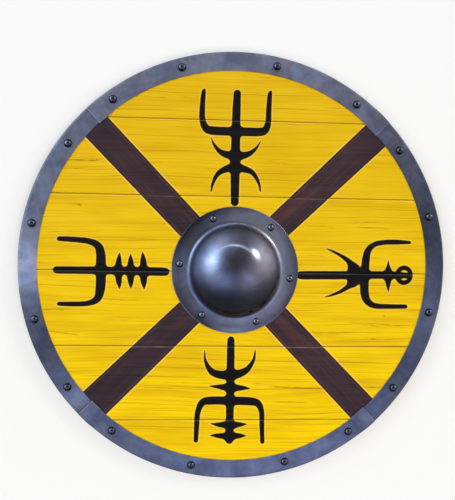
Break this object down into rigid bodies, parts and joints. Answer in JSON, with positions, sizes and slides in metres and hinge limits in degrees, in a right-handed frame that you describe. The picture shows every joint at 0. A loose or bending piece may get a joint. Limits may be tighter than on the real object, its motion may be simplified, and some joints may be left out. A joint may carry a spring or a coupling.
{
  "type": "round shield",
  "caption": "Round wooden shield with yellow painted planks, brown stained bands, black painted motifs, a riveted steel rim and a domed steel boss.",
  "frame": {"origin": "On the rim's axis, in the plane that the shield lies on, at the underside of the grip bar and battens.", "axes": "+Z out of the shield's front, through the boss. +Y towards the shield's top, along the grip bar. +X towards its right as seen from the front, along the planks."},
  "size_m": [0.6094, 0.6095, 0.0558],
  "materials": {
    "painted_wood": "worn satin paint over visible grain, with brown stained bands and black motifs",
    "back_wood": "oiled plain wood",
    "steel": "blue-grey mottled steel, satin",
    "dark_steel": "glossy blackened steel"
  },
  "bodies": {
    "root": {"plank_1": "painted_wood", "plank_2": "painted_wood", "plank_3": "painted_wood", "plank_4": "painted_wood", "plank_5": "painted_wood", "plank_6": "painted_wood", "rim_top": "steel", "rim_right": "steel", "rim_bottom": "steel", "rim_left": "steel", "rim_rivet_top_1": "dark_steel", "rim_rivet_top_2": "dark_steel", "rim_rivet_top_3": "dark_steel", "rim_rivet_top_4": "dark_steel", "rim_rivet_right_1": "dark_steel", "rim_rivet_right_2": "dark_steel", "rim_rivet_right_3": "dark_steel", "rim_rivet_right_4": "dark_steel", "rim_rivet_bottom_1": "dark_steel", "rim_rivet_bottom_2": "dark_steel", "rim_rivet_bottom_3": "dark_steel", "rim_rivet_bottom_4": "dark_steel", "rim_rivet_left_1": "dark_steel", "rim_rivet_left_2": "dark_steel", "rim_rivet_left_3": "dark_steel", "rim_rivet_left_4": "dark_steel", "boss": "steel", "boss_rivet_1": "dark_steel", "boss_rivet_2": "dark_steel", "boss_rivet_3": "dark_steel", "boss_rivet_4": "dark_steel", "boss_rivet_5": "dark_steel", "boss_rivet_6": "dark_steel", "grip_bar": "back_wood", "batten_left": "back_wood", "batten_right": "back_wood", "screw_grip_bar_1": "dark_steel", "screw_grip_bar_2": "dark_steel", "screw_grip_bar_3": "dark_steel", "screw_grip_bar_4": "dark_steel", "screw_grip_bar_5": "dark_steel", "screw_grip_bar_6": "dark_steel", "screw_batten_left_1": "dark_steel", "screw_batten_left_2": "dark_steel", "screw_batten_left_3": "dark_steel", "screw_batten_left_4": "dark_steel", "screw_batten_right_1": "dark_steel", "screw_batten_right_2": "dark_steel", "screw_batten_right_3": "dark_steel", "screw_batten_right_4": "dark_steel"}
  },
  "joints": []
}
